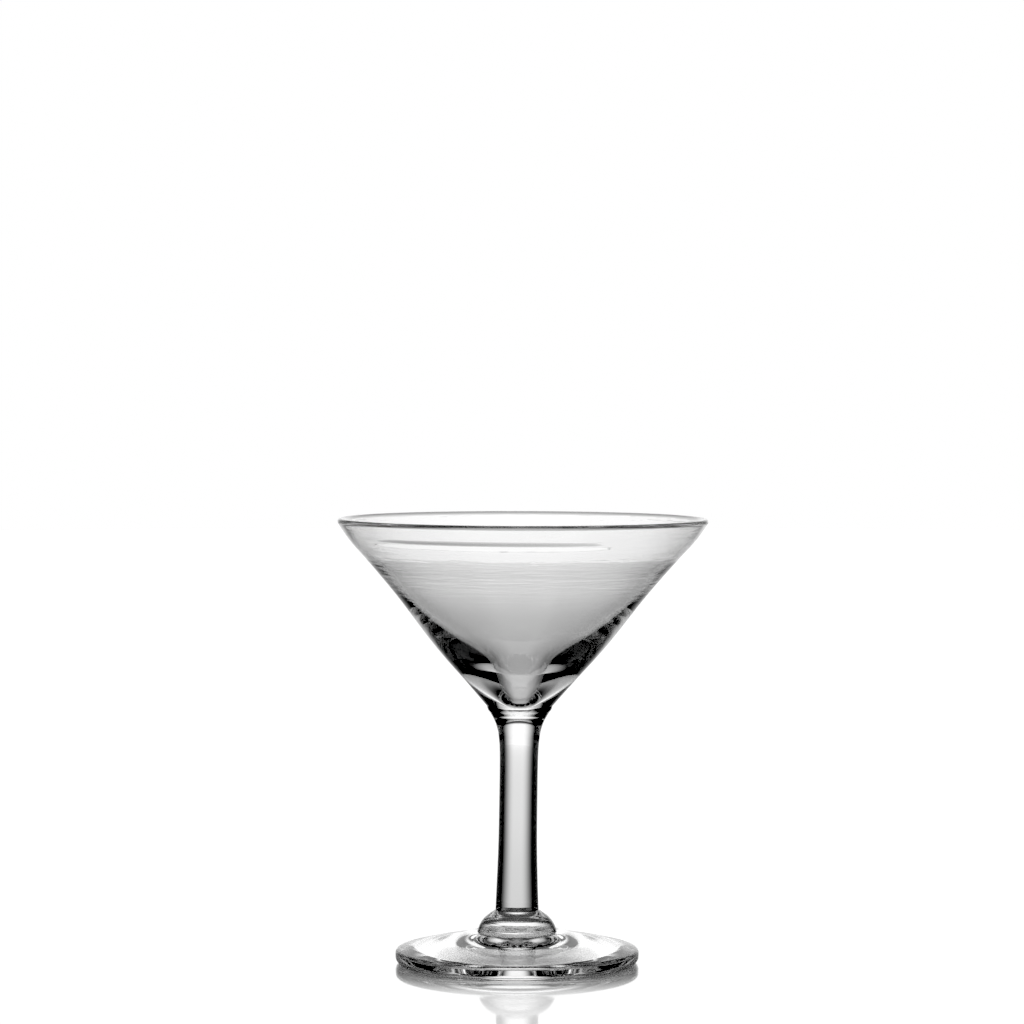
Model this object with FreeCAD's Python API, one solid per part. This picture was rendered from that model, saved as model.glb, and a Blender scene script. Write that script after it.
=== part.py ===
import FreeCAD, Part
import math
import os

# Martini glass, hand-made in clear glass. Millimetres, +Z up.
# The origin is the centre of the circle that the foot stands on.
# Four solids of revolution, joined hot, meet face to face on flat discs.

# Whole glass
RIM_RADIUS = 60.0
HEIGHT = 144.5

# Bowl. A point of an outline is (radius, height).
LIP_ROUND = 1.0               # radius of the fully rounded lip
LIP_OUTSIDE_ANGLE = -30.0     # where the lip's round meets the outside, in degrees above level
LIP_INSIDE_ANGLE = 127.0      # and where it meets the inside
OUTSIDE = [(56.45, 138), (52.05, 133), (46.75, 127), (39.25, 118), (31.6, 108), (25.1, 100), (19.7, 94)]
INSIDE = [(10.85, 94), (18.35, 100), (26.8, 107), (33.75, 114), (39.95, 121), (46.1, 128), (52.3, 135)]
BOWL_BASE_Z = 81.6            # where the bowl's base meets the stem
BOWL_BASE_RADIUS = 9.6        # and the stem's top
SHOULDER = (10.6, 83.6)       # top of the small rounded shoulder just above the stem joint
SHOULDER_MIDDLE = (10.3, 82.5)
FLOOR_Z = 86.0                # lowest point inside the bowl
FLOOR_ROUND = 5.6             # radius of the rounded floor
FLOOR_ANGLE = 51.0            # how far below level the floor's round ends, in degrees

# Stem
STEM_FLARE = (7.8, 78.2)      # halfway down the flare under the bowl
STEM_SHAFT = [(6.8, 74.5), (6.25, 67), (6.2, 55), (6.35, 36), (6.7, 25)]
STEM_BASE_RADIUS = 7.0

# Domed collar between the stem and the foot
COLLAR_TOP_Z = 17.2
COLLAR_BASE_Z = 10.1
COLLAR_DOME = [(8.0, 16.5), (10.5, 14.6), (12.3, 11.9)]
COLLAR_BASE_RADIUS = 12.9

# Foot
FOOT_RADIUS = 39.5
EDGE_ROUND = 1.3              # radius of the edge's upper corner
EDGE_LOW_ROUND = 2.1          # and of its lower corner
EDGE_TOP_Z = 4.6              # height where the edge turns into the domed top
FOOT_TOP = [(14.7, 10.15), (18.3, 9.15), (28.5, 6.9)]    # a low ring round the collar, then the dome
REST_INNER_RADIUS = 32.5      # inside of the flat ring that touches the table
FOOT_HOLLOW = 3.8             # height of the hollow under the foot, at its middle
HOLLOW_HALFWAY = 3.0          # and halfway out to the flat ring


def point(radius, height):
    return FreeCAD.Vector(radius, 0, height)


def on_circle(center, radius, degrees):
    angle = math.radians(degrees)
    return (center[0] + radius * math.cos(angle), center[1] + radius * math.sin(angle))


def line(start, end):
    return Part.LineSegment(point(*start), point(*end)).toShape()


def arc(start, middle, end):
    return Part.Arc(point(*start), point(*middle), point(*end)).toShape()


def smooth(*through):
    """A smooth curve through a few points."""
    curve = Part.BSplineCurve()
    curve.interpolate([point(*each) for each in through])
    return curve.toShape()


def smooth_from_axis(*through):
    """A smooth curve through a few points, level where it leaves the axis."""
    curve = Part.BSplineCurve()
    outward = point(through[-1][0], 0)
    last_step = point(*through[-1]) - point(*through[-2])
    curve.interpolate(Points=[point(*each) for each in through],
                      InitialTangent=outward, FinalTangent=last_step)
    return curve.toShape()


def revolve(edges):
    """One solid, made by turning a closed profile about the glass's axis."""
    face = Part.Face(Part.Wire(edges))
    return face.revolve(FreeCAD.Vector(0, 0, 0), FreeCAD.Vector(0, 0, 1), 360)


def make_bowl():
    """Cone-shaped bowl with a round lip, a thin wall and a thick solid bottom."""
    lip_center = (RIM_RADIUS - LIP_ROUND, HEIGHT - LIP_ROUND)
    lip_outside = on_circle(lip_center, LIP_ROUND, LIP_OUTSIDE_ANGLE)
    lip_top = on_circle(lip_center, LIP_ROUND, (LIP_OUTSIDE_ANGLE + LIP_INSIDE_ANGLE) / 2)
    lip_inside = on_circle(lip_center, LIP_ROUND, LIP_INSIDE_ANGLE)

    base = (BOWL_BASE_RADIUS, BOWL_BASE_Z)
    floor_center = (0, FLOOR_Z + FLOOR_ROUND)
    floor_edge = on_circle(floor_center, FLOOR_ROUND, -FLOOR_ANGLE)
    floor_middle = on_circle(floor_center, FLOOR_ROUND, -(90 + FLOOR_ANGLE) / 2)

    return revolve([
        line((0, BOWL_BASE_Z), base),
        arc(base, SHOULDER_MIDDLE, SHOULDER),
        smooth(lip_outside, *OUTSIDE, SHOULDER),
        arc(lip_outside, lip_top, lip_inside),
        smooth(floor_edge, *INSIDE, lip_inside),
        arc(floor_edge, floor_middle, (0, FLOOR_Z)),
        line((0, FLOOR_Z), (0, BOWL_BASE_Z)),
    ])


def make_stem():
    """Solid drawn stem, flared under the bowl and a little thicker towards the foot."""
    top = (BOWL_BASE_RADIUS, BOWL_BASE_Z)
    base = (STEM_BASE_RADIUS, COLLAR_TOP_Z)
    return revolve([
        line((0, COLLAR_TOP_Z), base),
        smooth(top, STEM_FLARE, *STEM_SHAFT, base),
        line(top, (0, BOWL_BASE_Z)),
        line((0, BOWL_BASE_Z), (0, COLLAR_TOP_Z)),
    ])


def make_foot_collar():
    """Small dome of glass that spreads the stem out to the foot."""
    top = (STEM_BASE_RADIUS, COLLAR_TOP_Z)
    base = (COLLAR_BASE_RADIUS, COLLAR_BASE_Z)
    return revolve([
        line((0, COLLAR_BASE_Z), base),
        smooth(top, *COLLAR_DOME, base),
        line(top, (0, COLLAR_TOP_Z)),
        line((0, COLLAR_TOP_Z), (0, COLLAR_BASE_Z)),
    ])


def make_foot():
    """Domed disc with a rounded edge, a flat ring to stand on and a hollow beneath."""
    low_center = (FOOT_RADIUS - EDGE_LOW_ROUND, EDGE_LOW_ROUND)
    high_center = (FOOT_RADIUS - EDGE_ROUND, EDGE_TOP_Z - EDGE_ROUND)
    edge_low = (FOOT_RADIUS, low_center[1])
    edge_high = (FOOT_RADIUS, high_center[1])
    last_radius, last_z = FOOT_TOP[-1]
    fall = math.degrees(math.atan2(last_z - EDGE_TOP_Z, high_center[0] - last_radius))
    dome_edge = on_circle(high_center, EDGE_ROUND, 90 - fall)
    edge_turn = on_circle(high_center, EDGE_ROUND, (90 - fall) / 2)
    rest_outside = (low_center[0], 0)
    rest_inside = (REST_INNER_RADIUS, 0)
    joint = (COLLAR_BASE_RADIUS, COLLAR_BASE_Z)

    return revolve([
        smooth_from_axis((0, FOOT_HOLLOW), (REST_INNER_RADIUS / 2, HOLLOW_HALFWAY), rest_inside),
        line(rest_inside, rest_outside),
        arc(rest_outside, on_circle(low_center, EDGE_LOW_ROUND, -45), edge_low),
        line(edge_low, edge_high),
        arc(edge_high, edge_turn, dome_edge),
        smooth(joint, *FOOT_TOP, dome_edge),
        line(joint, (0, COLLAR_BASE_Z)),
        line((0, COLLAR_BASE_Z), (0, FOOT_HOLLOW)),
    ])


pieces = {
    "bowl": make_bowl(),
    "stem": make_stem(),
    "foot_collar": make_foot_collar(),
    "foot": make_foot(),
}

os.makedirs("parts", exist_ok=True)
for name, piece in pieces.items():
    piece.exportStep(f"parts/{name}.step")
    print(name, round(piece.Volume / 1000, 2), "cm3", "valid" if piece.isValid() else "NOT VALID")
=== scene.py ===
"""Martini glass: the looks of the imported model, in a bright-field studio. Metres, +Z up."""

import cmath
import math

import bpy
import numpy as np
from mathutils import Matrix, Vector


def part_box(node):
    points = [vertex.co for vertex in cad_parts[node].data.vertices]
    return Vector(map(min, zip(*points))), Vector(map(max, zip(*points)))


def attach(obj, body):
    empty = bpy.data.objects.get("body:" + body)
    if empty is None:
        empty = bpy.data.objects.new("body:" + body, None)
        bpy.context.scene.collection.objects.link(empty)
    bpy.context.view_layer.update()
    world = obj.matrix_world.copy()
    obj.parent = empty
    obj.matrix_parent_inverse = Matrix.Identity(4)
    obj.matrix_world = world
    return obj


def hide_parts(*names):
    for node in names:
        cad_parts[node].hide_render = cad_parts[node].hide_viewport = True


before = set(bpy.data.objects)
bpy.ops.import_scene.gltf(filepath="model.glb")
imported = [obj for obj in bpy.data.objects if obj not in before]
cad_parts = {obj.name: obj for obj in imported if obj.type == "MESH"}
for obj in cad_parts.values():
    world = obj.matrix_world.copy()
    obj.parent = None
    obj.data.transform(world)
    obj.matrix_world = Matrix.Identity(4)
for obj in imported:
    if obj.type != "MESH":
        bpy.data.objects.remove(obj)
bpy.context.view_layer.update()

MM = 0.001


# ---------------------------------------------------------------- sizes

def node_box(name):
    """Lowest height, highest height and outer radius of a CAD node, in metres."""
    low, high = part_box(name)
    return low.z, high.z, high.x


def in_mm(*points):
    """Points of an outline, given as (radius, height) in millimetres."""
    return [(radius * MM, height * MM) for radius, height in points]


BOWL_BASE, HEIGHT, RIM_RADIUS = node_box("bowl")
COLLAR_BASE, COLLAR_TOP, COLLAR_RADIUS = node_box("foot_collar")
_, _, STEM_TOP_RADIUS = node_box("stem")
_, _, FOOT_RADIUS = node_box("foot")

# Bowl
LIP_ROUND = 1.0 * MM
LIP_OUTSIDE_ANGLE = -30.0     # where the lip's round meets the outside, in degrees above level
LIP_INSIDE_ANGLE = 127.0      # and where it meets the inside
SIDE = in_mm((56.45, 138), (52.05, 133), (46.75, 127), (39.25, 118), (31.6, 108), (25.1, 100), (19.7, 94))
SHOULDER_MIDDLE, SHOULDER = in_mm((10.3, 82.5), (10.6, 83.6))
INSIDE = in_mm((10.85, 94), (18.35, 100), (26.8, 107), (33.75, 114), (39.95, 121), (46.1, 128), (52.3, 135))
FLOOR_LEVEL = 86.0 * MM
FLOOR_ROUND = 5.6 * MM
FLOOR_ANGLE = 51.0            # how far below level the floor's round ends, in degrees

# Stem and collar
STEM_SIDE = in_mm((7.8, 78.2), (6.8, 74.5), (6.25, 67), (6.2, 55), (6.35, 36), (6.7, 25))
STEM_BASE_RADIUS = 7.0 * MM
COLLAR_SIDE = in_mm((8.0, 16.5), (10.5, 14.6), (12.3, 11.9))

# Foot
EDGE_ROUND = 1.3 * MM         # radius of the edge's upper corner
EDGE_LOW = 2.1 * MM           # and of its lower corner
EDGE_TOP = 4.6 * MM
DOME = in_mm((14.7, 10.15), (18.3, 9.15), (28.5, 6.9))
REST_INNER_RADIUS = 32.5 * MM
FOOT_HOLLOW = 3.8 * MM
HOLLOW_HALFWAY = 3.0 * MM

# How finely the outlines are stepped
TURNS = 192                   # steps round every piece
SPACING = 0.6 * MM            # between the points of a smooth outline
COLLAR_SPACING = 0.4 * MM
HOLLOW_SPACING = 1.2 * MM
FINE_STEPS = 5                # times finer across the streak
FLOOR_STEPS = 10
LIP_STEPS = 16
SHOULDER_STEPS = 5
EDGE_STEPS = 6
SAME_POINT = 1e-7
ON_AXIS = 1e-9
NEAR_AXIS = 0.1 * MM          # the hollow's curve has no point nearer the axis, but for its middle
SHARP_ANGLE = math.radians(30)


# ---------------------------------------------------------------- outlines: (radius, height) points

def on_circle(center, radius, degrees):
    angle = math.radians(degrees)
    return (center[0] + radius * math.cos(angle), center[1] + radius * math.sin(angle))


def arc(start, middle, end, steps):
    """Points along the circular arc through three points."""
    a, b, c = (complex(*point) for point in (start, middle, end))
    ratio = (c - a) / (b - a)
    center = a + (b - a) * (ratio - abs(ratio) ** 2) / (2j * ratio.imag)
    radius = abs(a - center)
    begin = cmath.phase(a - center)
    to_middle = math.remainder(cmath.phase(b - center) - begin, math.tau)
    to_end = math.remainder(cmath.phase(c - center) - begin, math.tau)
    if to_middle * to_end < 0:
        to_end += math.copysign(math.tau, to_middle)
    angles = [begin + to_end * i / steps for i in range(steps + 1)]
    return [(center.real + radius * math.cos(t), center.imag + radius * math.sin(t)) for t in angles]


def smooth(points, spacing=SPACING, fine=None):
    """A natural cubic spline through a few points, sampled about every spacing metres, and finer between
    two heights."""
    knots = np.array(points, float)
    at = np.concatenate([[0], np.cumsum(np.linalg.norm(np.diff(knots, axis=0), axis=1))])
    count, step = len(at), np.diff(at)

    # How the curve bends at each knot: not at all at its two ends.
    matrix, change = np.eye(count), np.zeros((count, 2))
    for i in range(1, count - 1):
        before, after = step[i - 1], step[i]
        matrix[i, i - 1], matrix[i, i], matrix[i, i + 1] = before, 2 * (before + after), after
        change[i] = 6 * ((knots[i + 1] - knots[i]) / after - (knots[i] - knots[i - 1]) / before)
    bend = np.linalg.solve(matrix, change)

    # Each sample lies between knot k and the next.
    samples = np.linspace(0, at[-1], FINE_STEPS * max(2, round(at[-1] / spacing)) + 1)
    k = np.clip(np.searchsorted(at, samples) - 1, 0, count - 2)
    gap = step[k][:, None]
    left = (at[k + 1] - samples)[:, None]
    done = (samples - at[k])[:, None]
    curve = (bend[k] * left ** 3 + bend[k + 1] * done ** 3) / (6 * gap)
    curve += ((knots[k] / gap - bend[k] * gap / 6) * left
              + (knots[k + 1] / gap - bend[k + 1] * gap / 6) * done)
    low, high = fine or (0, 0)
    return [tuple(each) for i, each in enumerate(curve) if i % FINE_STEPS == 0 or low < each[1] < high]


def bowl_outline():
    center = (RIM_RADIUS - LIP_ROUND, HEIGHT - LIP_ROUND)
    lip_outside = on_circle(center, LIP_ROUND, LIP_OUTSIDE_ANGLE)
    lip_inside = on_circle(center, LIP_ROUND, LIP_INSIDE_ANGLE)
    lip_top = on_circle(center, LIP_ROUND, (LIP_OUTSIDE_ANGLE + LIP_INSIDE_ANGLE) / 2)
    floor_center = (0, FLOOR_LEVEL + FLOOR_ROUND)
    floor_edge = on_circle(floor_center, FLOOR_ROUND, -FLOOR_ANGLE)
    floor_middle = on_circle(floor_center, FLOOR_ROUND, -(90 + FLOOR_ANGLE) / 2)
    across_streak = (STREAK[1] - STREAK_REACH, STREAK[1] + STREAK_REACH)
    return [
        arc((0, FLOOR_LEVEL), floor_middle, floor_edge, FLOOR_STEPS),
        smooth([floor_edge, *INSIDE, lip_inside]),
        arc(lip_inside, lip_top, lip_outside, LIP_STEPS),
        smooth([lip_outside, *SIDE, SHOULDER], fine=across_streak),
        arc(SHOULDER, SHOULDER_MIDDLE, (STEM_TOP_RADIUS, BOWL_BASE), SHOULDER_STEPS),
    ]


def stem_outline():
    return [smooth([(STEM_TOP_RADIUS, BOWL_BASE), *STEM_SIDE, (STEM_BASE_RADIUS, COLLAR_TOP)])]


def collar_outline():
    top = (STEM_BASE_RADIUS, COLLAR_TOP)
    return [smooth([top, *COLLAR_SIDE, (COLLAR_RADIUS, COLLAR_BASE)], COLLAR_SPACING)]


def hollow_outline():
    """Under the foot, from the ring it stands on to the axis: half of a smooth symmetric curve."""
    edge = (REST_INNER_RADIUS, 0.0)
    side = (REST_INNER_RADIUS / 2, HOLLOW_HALFWAY)
    middle = (0.0, FOOT_HOLLOW)
    whole = smooth([edge, side, middle, (-side[0], side[1]), (-edge[0], 0.0)], HOLLOW_SPACING)
    return [point for point in whole if point[0] > NEAR_AXIS] + [middle]


def foot_outline():
    high = (FOOT_RADIUS - EDGE_ROUND, EDGE_TOP - EDGE_ROUND)
    low = (FOOT_RADIUS - EDGE_LOW, EDGE_LOW)
    slope = math.degrees(math.atan2(DOME[-1][1] - EDGE_TOP, FOOT_RADIUS - EDGE_ROUND - DOME[-1][0]))
    dome_edge = on_circle(high, EDGE_ROUND, 90 - slope)
    edge_high = (FOOT_RADIUS, high[1])
    edge_low = (FOOT_RADIUS, low[1])
    rest_outside = (low[0], 0.0)
    rest_inside = (REST_INNER_RADIUS, 0.0)
    return [
        smooth([(COLLAR_RADIUS, COLLAR_BASE), *DOME, dome_edge]),
        arc(dome_edge, on_circle(high, EDGE_ROUND, (90 - slope) / 2), edge_high, EDGE_STEPS),
        [edge_high, edge_low],
        arc(edge_low, on_circle(low, EDGE_LOW, -45), rest_outside, EDGE_STEPS),
        [rest_outside, rest_inside],
        hollow_outline(),
    ]


# ---------------------------------------------------------------- hand-made shape

LEAN = 1.9 * MM               # how far the rim stands to one side of the foot
LEAN_START = 20 * MM
LEAN_POWER = 1.15             # the lean grows a little faster than the height
RIM_TILT = math.radians(0.15)
STREAK = (56.4 * MM, 137.8 * MM)    # where a shallow cord of glass runs round part of the outside
STREAK_RISE = 0.6 * MM
STREAK_ROUND = 0.8 * MM
STREAK_REACH = 2.6 * MM
STREAK_FALL = 0.3 * MM
STREAK_MIDDLE = math.radians(-104)
STREAK_HALF = math.radians(47)


def streak(radius, height, angle):
    """How far the cord stands out at a point of the bowl's outline."""
    along = math.remainder(angle - STREAK_MIDDLE, math.tau) / STREAK_HALF
    if abs(along) >= 1:
        return 0.0
    off = math.dist((radius, height), (STREAK[0], STREAK[1] - STREAK_FALL * along))
    return STREAK_RISE * (1 - along ** 2) * math.exp(-(off / STREAK_ROUND) ** 2 / 2)


def hand_made(radius, height, angle):
    """Where a point of the perfect outline really lies: a slight lean, a rim not quite level and a streak."""
    radius += streak(radius, height, angle)
    up = max(0.0, (height - LEAN_START) / (HEIGHT - LEAN_START))
    x = radius * math.cos(angle)
    return (x + LEAN * up ** LEAN_POWER, radius * math.sin(angle), height - x * math.tan(RIM_TILT) * up)


def turned(name, outline, glass, fused, fused_top=None, fused_base=None):
    """A piece turned from its outline. The discs that are fused to a neighbour take the second material."""
    points = [outline[0][0]]
    for stretch in outline:
        points += [point for point in stretch if math.dist(point, points[-1]) > SAME_POINT]
    rows = [(radius, height, 0) for radius, height in points]
    if fused_top is not None:
        rows.insert(0, (0.0, fused_top, 1))
    if fused_base is not None:
        rows.append((0.0, fused_base, 1))

    verts, rings = [], []
    for radius, height, _ in rows:
        if radius < ON_AXIS:
            rings.append([len(verts)] * TURNS)
            verts.append(hand_made(0.0, height, 0.0))
            continue
        rings.append(list(range(len(verts), len(verts) + TURNS)))
        verts += [hand_made(radius, height, math.tau * i / TURNS) for i in range(TURNS)]

    faces, slots = [], []
    for (upper, lower), (a, b) in zip(zip(rings, rings[1:]), zip(rows, rows[1:])):
        for i in range(TURNS):
            j = (i + 1) % TURNS
            corners = [upper[i], lower[i], lower[j], upper[j]]
            faces.append(list(dict.fromkeys(corners)))
            slots.append(max(a[2], b[2]))
    mesh = bpy.data.meshes.new(name)
    mesh.from_pydata(verts, [], faces)
    mesh.materials.append(glass)
    if max(slots):
        mesh.materials.append(fused)
        mesh.polygons.foreach_set("material_index", slots)
    mesh.polygons.foreach_set("use_smooth", [True] * len(faces))
    mesh.set_sharp_from_angle(angle=SHARP_ANGLE)
    mesh.validate()
    piece = bpy.data.objects.new(name, mesh)
    bpy.context.scene.collection.objects.link(piece)
    return piece


# ---------------------------------------------------------------- nodes

def new_material(name):
    material = bpy.data.materials.new(name)
    material.use_nodes = True
    nodes = material.node_tree.nodes
    nodes.clear()
    output = nodes.new("ShaderNodeOutputMaterial")
    return material, nodes, material.node_tree.links, output


def feed(links, socket, value):
    """Links a node's output to a socket, or sets the socket to a number."""
    if isinstance(value, bpy.types.NodeSocket):
        links.new(value, socket)
    else:
        socket.default_value = value


def math_node(nodes, links, operation, *values):
    node = nodes.new("ShaderNodeMath")
    node.operation = operation
    for socket, value in zip(node.inputs, values):
        feed(links, socket, value)
    return node.outputs[0]


def mix_value(nodes, links, factor, first, second):
    node = nodes.new("ShaderNodeMix")
    node.data_type = "FLOAT"
    for index, value in ((0, factor), (2, first), (3, second)):
        feed(links, node.inputs[index], value)
    return node.outputs[0]


def falloff(nodes, links, value, full, gone):
    """1 up to full, falling smoothly to 0 at gone. With gone under full it is 0 up to gone instead."""
    node = nodes.new("ShaderNodeMapRange")
    node.interpolation_type = "SMOOTHSTEP"
    feed(links, node.inputs["Value"], value)
    feed(links, node.inputs["From Min"], full)
    feed(links, node.inputs["From Max"], gone)
    feed(links, node.inputs["To Min"], 1)
    feed(links, node.inputs["To Max"], 0)
    return node.outputs["Result"]


# ---------------------------------------------------------------- glass

GLASS_IOR = 1.52
GLASS_TINT = (0.995, 0.995, 0.995, 1)
GRAIN = 60.0                  # patches of unevenness per metre round the glass
GRAIN_DETAIL = 2.0
BOWL_UNEVEN = 0.045 * MM
BOWL_GRAIN = 12.0             # how many times finer the patches are up the glass than round it
BOWL_SMOOTH = (124 * MM, 114 * MM)    # the ripples fade out between these heights
COLLAR_UNEVEN = 0.05 * MM
COLLAR_GRAIN = 20.0


def make_glass(name, unevenness=0.0, level_grain=1.0, smooth_under=None):
    """Clear fire-polished glass. Its faint unevenness is drawn out round the axis by the turning, and fades
    away between the two heights of smooth_under."""
    material, nodes, links, output = new_material(name)
    shader = nodes.new("ShaderNodeBsdfPrincipled")
    if unevenness:
        coordinates = nodes.new("ShaderNodeTexCoord")
        stretch = nodes.new("ShaderNodeMapping")
        stretch.inputs["Scale"].default_value = (GRAIN, GRAIN, GRAIN * level_grain)
        links.new(coordinates.outputs["Object"], stretch.inputs["Vector"])
        noise = nodes.new("ShaderNodeTexNoise")
        noise.inputs["Scale"].default_value = 1.0
        noise.inputs["Detail"].default_value = GRAIN_DETAIL
        links.new(stretch.outputs["Vector"], noise.inputs["Vector"])
        height = noise.outputs["Fac"]
        if smooth_under:
            split = nodes.new("ShaderNodeSeparateXYZ")
            links.new(coordinates.outputs["Object"], split.inputs[0])
            kept = falloff(nodes, links, split.outputs[2], *smooth_under)
            height = math_node(nodes, links, "MULTIPLY", height, kept)
        bump = nodes.new("ShaderNodeBump")
        bump.inputs["Strength"].default_value = 1.0
        bump.inputs["Distance"].default_value = unevenness
        links.new(height, bump.inputs["Height"])
        links.new(bump.outputs["Normal"], shader.inputs["Normal"])
    shader.inputs["Base Color"].default_value = GLASS_TINT
    shader.inputs["Roughness"].default_value = 0.0
    shader.inputs["IOR"].default_value = GLASS_IOR
    shader.inputs["Transmission Weight"].default_value = 1.0
    links.new(shader.outputs["BSDF"], output.inputs["Surface"])
    return material


def make_fused():
    """Inside the glass, where two pieces are one: nothing to see."""
    material, nodes, links, output = new_material("fused_joint")
    shader = nodes.new("ShaderNodeBsdfTransparent")
    links.new(shader.outputs["BSDF"], output.inputs["Surface"])
    return material


fused = make_fused()
clear = make_glass("clear_glass", BOWL_UNEVEN, BOWL_GRAIN, BOWL_SMOOTH)
clear_collar = make_glass("clear_glass_collar", COLLAR_UNEVEN, COLLAR_GRAIN)
clear_foot = make_glass("clear_glass_foot")

bowl = turned("bowl_glass", bowl_outline(), clear, fused, fused_base=BOWL_BASE)
stem = turned("stem_glass", stem_outline(), clear, fused, fused_top=BOWL_BASE, fused_base=COLLAR_TOP)
collar = turned("collar_glass", collar_outline(), clear_collar, fused,
                fused_top=COLLAR_TOP, fused_base=COLLAR_BASE)
foot = turned("foot_glass", foot_outline(), clear_foot, fused, fused_top=COLLAR_BASE)

for piece, node, slot in ((bowl, "bowl", "bowl_glass"), (stem, "stem", "stem_glass"),
                          (collar, "foot_collar", "collar_glass"), (foot, "foot", "foot_glass")):
    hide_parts(node)
    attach(piece, "root")


# ---------------------------------------------------------------- camera

CAMERA_DISTANCE = 1.2129
CAMERA_HEIGHT = 0.1943
CAMERA_PITCH = math.radians(2.257)
CAMERA_LEFT = 1.64 * MM
LENS = 131.8                  # in millimetres, on a sensor 36 mm wide
SENSOR_WIDTH = 36

camera = bpy.data.objects.new("camera", bpy.data.cameras.new("camera"))
bpy.context.scene.collection.objects.link(camera)
camera.location = (-CAMERA_LEFT, -CAMERA_DISTANCE, CAMERA_HEIGHT)
camera.rotation_euler = (math.radians(90) - CAMERA_PITCH, 0, 0)
camera.data.lens = LENS
camera.data.sensor_width = SENSOR_WIDTH
bpy.context.scene.camera = camera


# ---------------------------------------------------------------- studio

STUDIO_RADIUS = 3.2
STUDIO_SLICES = 96
STUDIO_STACKS = 24
FLOOR_GAP = 0.05 * MM         # the table lies this far under the foot

# The window behind the glass, and a dimmer one behind the photograph's camera
WINDOW_CENTER = math.radians(1.5)
WINDOW_HALF = math.radians(23)
WINDOW_SOFT = math.radians(16)
WINDOW_TOP = math.radians(31)
TOP_SOFT = math.radians(4)
REAR = 0.6
REAR_FROM = math.radians(115)
REAR_FULL = math.radians(145)
BACKDROP = 1.1

# The light above each window
OVERHEAD = 1.0
OVERHEAD_BASE = math.radians(38)
OVERHEAD_TOP = math.radians(63)

# The table, as the camera sees it and as the glass does
TABLE_IOR = 1.5
TABLE_ROUGHNESS = 0.05
TABLE_WHITE = 1.03
# Painted light: as the glass sees it, the table glows in the windows' directions instead of being lit by
# them, with a painted shadow under the glass
TABLE_PAINTED_LIGHT = 0.43
TABLE_PAINTED_SHADOW = 0.01
PAINTED_SHADOW_FROM = 36 * MM          # painted shadow of the glass: in the glass, the table is dark out to here
PAINTED_SHADOW_TO = 60 * MM            # and glows with its full painted light from here
CONTACT_FROM = 38 * MM        # the painted contact shadow is full out to here
CONTACT_TO = 66 * MM          # and gone from here
CONTACT_MIRROR = 0.43         # where the table mirrors less than this, the painted shadow is weaker, so it changes with the viewing angle
# Painted shadow: the table's glow and gloss where the painted contact shadow is full
PAINTED_SHADOW_GLOW = 0.05
PAINTED_SHADOW_GLOSS = 0.88
ONE_BOUNCE = 1.5              # rays under this depth have bounced once at most

BLACK_LEVEL = 0.03
BOUNCES = 24


def lit_part(nodes, links):
    """How brightly a point of the studio lies in the windows, from 0 to 1, with its distance from the axis
    and its elevation."""
    coordinates = nodes.new("ShaderNodeTexCoord")
    split = nodes.new("ShaderNodeSeparateXYZ")
    links.new(coordinates.outputs["Object"], split.inputs[0])
    x, y, z = split.outputs
    azimuth = math_node(nodes, links, "ARCTAN2", x, y)
    off = math_node(nodes, links, "SUBTRACT", azimuth, WINDOW_CENTER)
    off = math_node(nodes, links, "ABSOLUTE", off)
    front = falloff(nodes, links, off, WINDOW_HALF - WINDOW_SOFT, WINDOW_HALF + WINDOW_SOFT)
    rear = math_node(nodes, links, "MULTIPLY", falloff(nodes, links, off, REAR_FULL, REAR_FROM), REAR)
    inside = math_node(nodes, links, "MAXIMUM", front, rear)
    x_squared = math_node(nodes, links, "MULTIPLY", x, x)
    y_squared = math_node(nodes, links, "MULTIPLY", y, y)
    across = math_node(nodes, links, "POWER", math_node(nodes, links, "ADD", x_squared, y_squared), 0.5)
    elevation = math_node(nodes, links, "ARCTAN2", z, across)
    return inside, across, elevation


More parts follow.
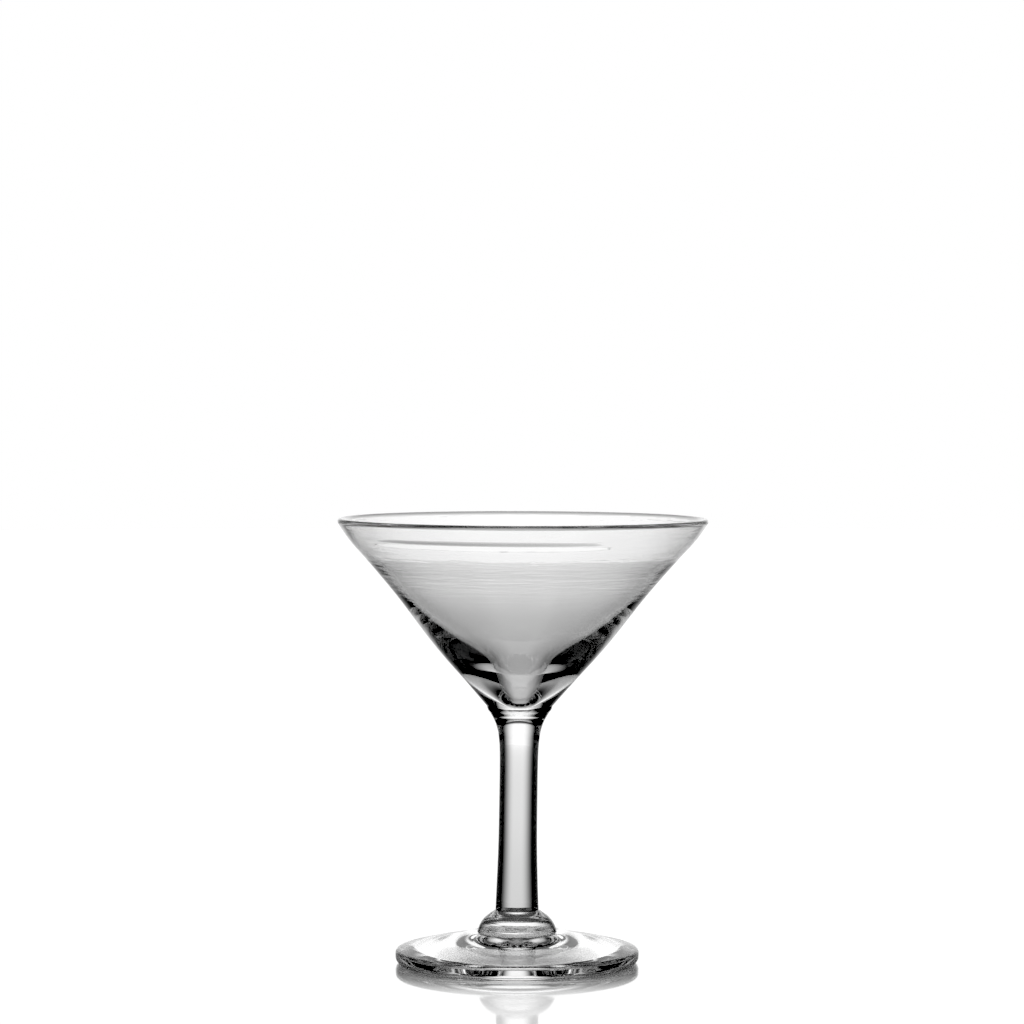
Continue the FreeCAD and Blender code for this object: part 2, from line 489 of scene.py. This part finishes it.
def make_table_material():
    """White to the camera, with its gloss and a painted contact shadow round the foot. What the glass shows
    of it is a dimmer painted light from the windows, with a painted shadow mostly near the foot.
    """
    material, nodes, links, output = new_material("table")
    inside, across, _ = lit_part(nodes, links)
    seen = nodes.new("ShaderNodeLightPath").outputs["Is Camera Ray"]
    fresnel = nodes.new("ShaderNodeFresnel")
    fresnel.inputs["IOR"].default_value = TABLE_IOR
    mirror = fresnel.outputs[0]
    matt = math_node(nodes, links, "SUBTRACT", 1.0, mirror)

    # Painted shadow under the glass, and painted light from the windows beyond it
    under = falloff(nodes, links, across, PAINTED_SHADOW_FROM, PAINTED_SHADOW_TO)
    beyond = math_node(nodes, links, "SUBTRACT", 1.0, under)
    lit = math_node(nodes, links, "MULTIPLY", beyond, TABLE_PAINTED_LIGHT)
    lit = math_node(nodes, links, "ADD", lit, TABLE_PAINTED_SHADOW)
    lit = math_node(nodes, links, "MULTIPLY", lit, inside)
    lit = math_node(nodes, links, "MULTIPLY", lit, matt)

    # Painted contact shadow round the foot: the glow drops and the gloss rises, more so at glancing views
    near = falloff(nodes, links, across, CONTACT_FROM, CONTACT_TO)
    contact = math_node(nodes, links, "MULTIPLY", near, mirror)
    contact = math_node(nodes, links, "DIVIDE", contact, CONTACT_MIRROR)
    contact = math_node(nodes, links, "MINIMUM", contact, 1.0)
    white = math_node(nodes, links, "MULTIPLY", matt, TABLE_WHITE)
    white_seen = mix_value(nodes, links, contact, white, PAINTED_SHADOW_GLOW)
    mirror_seen = mix_value(nodes, links, contact, mirror, PAINTED_SHADOW_GLOSS)

    surface = nodes.new("ShaderNodeEmission")
    links.new(mix_value(nodes, links, seen, lit, white_seen), surface.inputs["Strength"])
    gloss = nodes.new("ShaderNodeBsdfGlossy")
    links.new(mix_value(nodes, links, seen, mirror, mirror_seen), gloss.inputs["Color"])
    gloss.inputs["Roughness"].default_value = TABLE_ROUGHNESS
    both = nodes.new("ShaderNodeAddShader")
    links.new(surface.outputs[0], both.inputs[0])
    links.new(gloss.outputs[0], both.inputs[1])
    links.new(both.outputs[0], output.inputs["Surface"])
    return material


def make_studio_material():
    """Soft light behind the glass, dimmer behind the photograph's camera and dark to both sides. The table's
    own gloss shows it pale all round, so that the table is pale from every side."""
    material, nodes, links, output = new_material("studio")
    inside, _, elevation = lit_part(nodes, links)
    window = falloff(nodes, links, elevation, WINDOW_TOP - TOP_SOFT, WINDOW_TOP + TOP_SOFT)
    window = math_node(nodes, links, "MULTIPLY", window, BACKDROP)
    below = falloff(nodes, links, elevation, OVERHEAD_TOP - TOP_SOFT, OVERHEAD_TOP + TOP_SOFT)
    above = falloff(nodes, links, elevation, OVERHEAD_BASE + TOP_SOFT, OVERHEAD_BASE - TOP_SOFT)
    overhead = math_node(nodes, links, "MULTIPLY", below, above)
    overhead = math_node(nodes, links, "MULTIPLY", overhead, OVERHEAD)
    total = math_node(nodes, links, "ADD", window, overhead)
    strength = math_node(nodes, links, "MULTIPLY", inside, total)

    path = nodes.new("ShaderNodeLightPath")
    rough = math_node(nodes, links, "SUBTRACT", 1.0, path.outputs["Is Singular Ray"])
    in_table = math_node(nodes, links, "MULTIPLY", path.outputs["Is Glossy Ray"], rough)
    first = math_node(nodes, links, "LESS_THAN", path.outputs["Ray Depth"], ONE_BOUNCE)
    in_table = math_node(nodes, links, "MULTIPLY", in_table, first)

    light = nodes.new("ShaderNodeEmission")
    links.new(mix_value(nodes, links, in_table, strength, BACKDROP), light.inputs["Strength"])
    links.new(light.outputs[0], output.inputs["Surface"])
    return material


def ring(radius, height):
    """One ring of the studio's points."""
    angles = [math.tau * i / STUDIO_SLICES for i in range(STUDIO_SLICES)]
    return [(radius * math.cos(angle), radius * math.sin(angle), height) for angle in angles]


def table_mesh():
    mesh = bpy.data.meshes.new("table")
    mesh.from_pydata(ring(STUDIO_RADIUS, -FLOOR_GAP), [], [list(range(STUDIO_SLICES))])
    return mesh


def studio_mesh():
    """A dome over the table."""
    verts, faces = [], []
    for i in range(STUDIO_STACKS + 1):
        up = math.radians(90) * i / STUDIO_STACKS
        verts += ring(STUDIO_RADIUS * math.cos(up), STUDIO_RADIUS * math.sin(up) - 2 * FLOOR_GAP)
    for i in range(STUDIO_STACKS):
        low, high = i * STUDIO_SLICES, (i + 1) * STUDIO_SLICES
        for j in range(STUDIO_SLICES):
            k = (j + 1) % STUDIO_SLICES
            faces.append([low + j, low + k, high + k, high + j])
    mesh = bpy.data.meshes.new("studio")
    mesh.from_pydata(verts, [], faces)
    return mesh


def stage_object(name, mesh, material):
    thing = bpy.data.objects.new(name, mesh)
    thing.data.materials.append(material)
    bpy.context.scene.collection.objects.link(thing)
    return thing


def set_world():
    """Plain white to the camera, and no light of its own."""
    world = bpy.data.worlds.new("world")
    bpy.context.scene.world = world
    world.use_nodes = True
    nodes, links = world.node_tree.nodes, world.node_tree.links
    nodes.clear()
    output = nodes.new("ShaderNodeOutputWorld")
    background = nodes.new("ShaderNodeBackground")
    background.inputs["Color"].default_value = (1, 1, 1, 1)
    path = nodes.new("ShaderNodeLightPath")
    links.new(path.outputs["Is Camera Ray"], background.inputs["Strength"])
    links.new(background.outputs[0], output.inputs["Surface"])


stage_object("table", table_mesh(), make_table_material())
studio = stage_object("studio", studio_mesh(), make_studio_material())
studio.visible_camera = False
set_world()

view = bpy.context.scene.view_settings
view.view_transform = "Standard"
view.use_curve_mapping = True
view.curve_mapping.black_level = (BLACK_LEVEL, BLACK_LEVEL, BLACK_LEVEL)
view.curve_mapping.update()

cycles = bpy.context.scene.cycles
cycles.max_bounces = BOUNCES
cycles.transmission_bounces = BOUNCES
cycles.glossy_bounces = BOUNCES
cycles.transparent_max_bounces = BOUNCES
